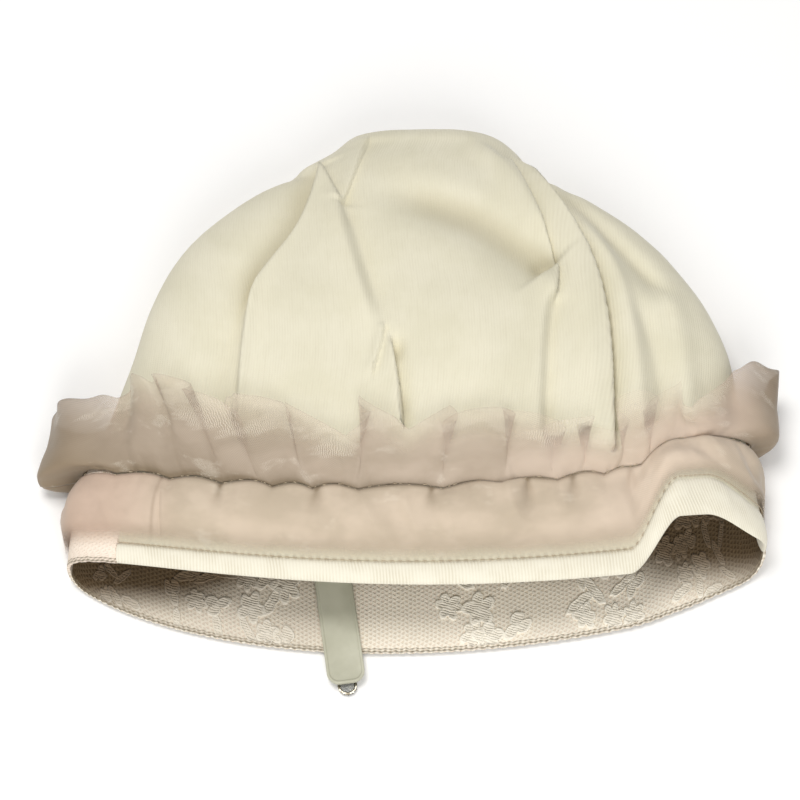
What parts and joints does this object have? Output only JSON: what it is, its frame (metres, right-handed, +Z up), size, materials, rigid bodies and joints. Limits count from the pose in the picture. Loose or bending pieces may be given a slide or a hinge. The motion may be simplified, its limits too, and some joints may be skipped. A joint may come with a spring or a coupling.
{
  "type": "baby hat",
  "caption": "Soft baby hat lying flat: jersey front, lace back, gathered organza frill over a ribbed brow hem, with a small rubber label inside.",
  "frame": {"origin": "middle of the hat's box, on the surface that the hat lies on", "axes": "+X to the right as seen from the open hem, +Y from the hem to the crown, +Z up from the surface, front of the hat on top"},
  "size_m": [0.2338, 0.197, 0.0455],
  "materials": {
    "front_jersey": "cream cotton jersey, matt",
    "back_lace": "pinkish-beige lace over net",
    "binding_rib": "cream rib, matt",
    "band_organza": "pinkish organza, slight sheen",
    "frill_organza": "pinkish organza, slight sheen",
    "label_rubber": "grey soft rubber",
    "cup_metal": "polished",
    "stone_glass": "cut and clear"
  },
  "bodies": {
    "root": {"front_panel": "front_jersey", "back_panel": "back_lace", "hem_binding": "binding_rib", "ruffle_band": "band_organza", "ruffle_frill": "frill_organza", "label_tab": "label_rubber", "label_cup": "cup_metal", "label_crystal": "stone_glass"}
  },
  "joints": []
}
